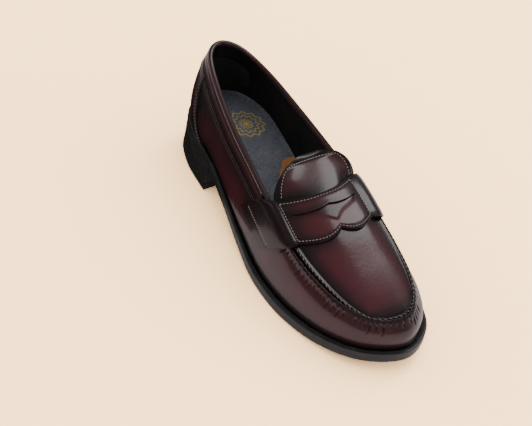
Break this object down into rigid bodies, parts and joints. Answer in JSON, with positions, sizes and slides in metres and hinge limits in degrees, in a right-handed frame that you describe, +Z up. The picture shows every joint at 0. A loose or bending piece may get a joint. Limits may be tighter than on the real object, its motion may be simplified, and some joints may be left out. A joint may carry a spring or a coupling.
{
  "type": "penny loafer shoe",
  "caption": "Right-foot slip-on leather loafer with a raised moccasin seam, a slotted saddle strap, a short flexible tongue, a welted leather sole and a stacked heel.",
  "frame": {"origin": "centre of the bounding box on the ground plane, where the top lift and the ball of the sole stand", "axes": "-Y towards the toe, +Y towards the heel, -X towards the outer (lateral) side of a right foot, +Z up"},
  "size_m": [0.1078, 0.304, 0.0891],
  "materials": {
    "upper_leather": "high-gloss brushed-off calf, darker at the edges",
    "trim_leather": "polished dark calf",
    "sole_leather": "black edge dressing, satin",
    "lift_rubber": "matt black",
    "lining_leather": "matt black",
    "sock_navy": "grained, matt",
    "sock_tan": "matt",
    "insole_fibre": "undyed, matt",
    "filler_cork": "pressed cork",
    "cushion_foam": "foam",
    "shank_steel": "tempered spring steel",
    "nail_brass": "bright",
    "thread": "waxed thread"
  },
  "bodies": {
    "shoe": {"heel_top_lift": "lift_rubber", "heel_lift_lower": "sole_leather", "heel_lift_middle": "sole_leather", "heel_lift_upper": "sole_leather", "heel_nail_1": "shank_steel", "heel_nail_2": "shank_steel", "heel_nail_3": "shank_steel", "heel_nail_4": "shank_steel", "heel_nail_5": "shank_steel", "top_lift_nail_1": "nail_brass", "top_lift_nail_2": "nail_brass", "top_lift_nail_3": "nail_brass", "top_lift_nail_4": "nail_brass", "top_lift_nail_5": "nail_brass", "top_lift_nail_6": "nail_brass", "outsole": "sole_leather", "welt": "sole_leather", "shank": "shank_steel", "cork_filler": "filler_cork", "insole_board": "insole_fibre", "sock_cushion": "cushion_foam", "sock_lining": "sock_navy", "forepart_sock": "sock_tan", "vamp_wall": "upper_leather", "quarter_outer": "upper_leather", "quarter_inner": "upper_leather", "collar_band": "trim_leather", "heel_foxing": "upper_leather", "toe_puff": "insole_fibre", "heel_counter": "insole_fibre", "vamp_lining": "lining_leather", "quarter_lining": "lining_leather", "heel_grip": "lining_leather", "topline_binding": "trim_leather", "vamp_apron": "upper_leather", "apron_lining": "lining_leather", "saddle_strap": "upper_leather", "slot_backing": "trim_leather", "moccasin_seam": "trim_leather", "stitch_topline": "thread", "stitch_collar_upper": "thread", "stitch_collar_lower": "thread", "stitch_foxing_outer": "thread", "stitch_foxing_inner": "thread", "stitch_strap_front": "thread", "stitch_strap_rear": "thread", "stitch_strap_end_outer": "thread", "stitch_strap_fold_outer": "thread", "stitch_strap_end_inner": "thread", "stitch_strap_fold_inner": "thread", "stitch_welt": "thread"},
    "tongue_flap": {"tongue": "upper_leather", "tongue_lining": "lining_leather", "tongue_binding": "trim_leather", "stitch_tongue": "thread"}
  },
  "joints": [
    {"name": "tongue_lift", "type": "hinge", "parent": "shoe", "child": "tongue_flap", "pos_m": [-0.00116, -0.03004, 0.073], "axis": [1, 0, 0], "range_deg": [-5, 25], "stiffness_Nm_per_rad": 0.12}
  ]
}
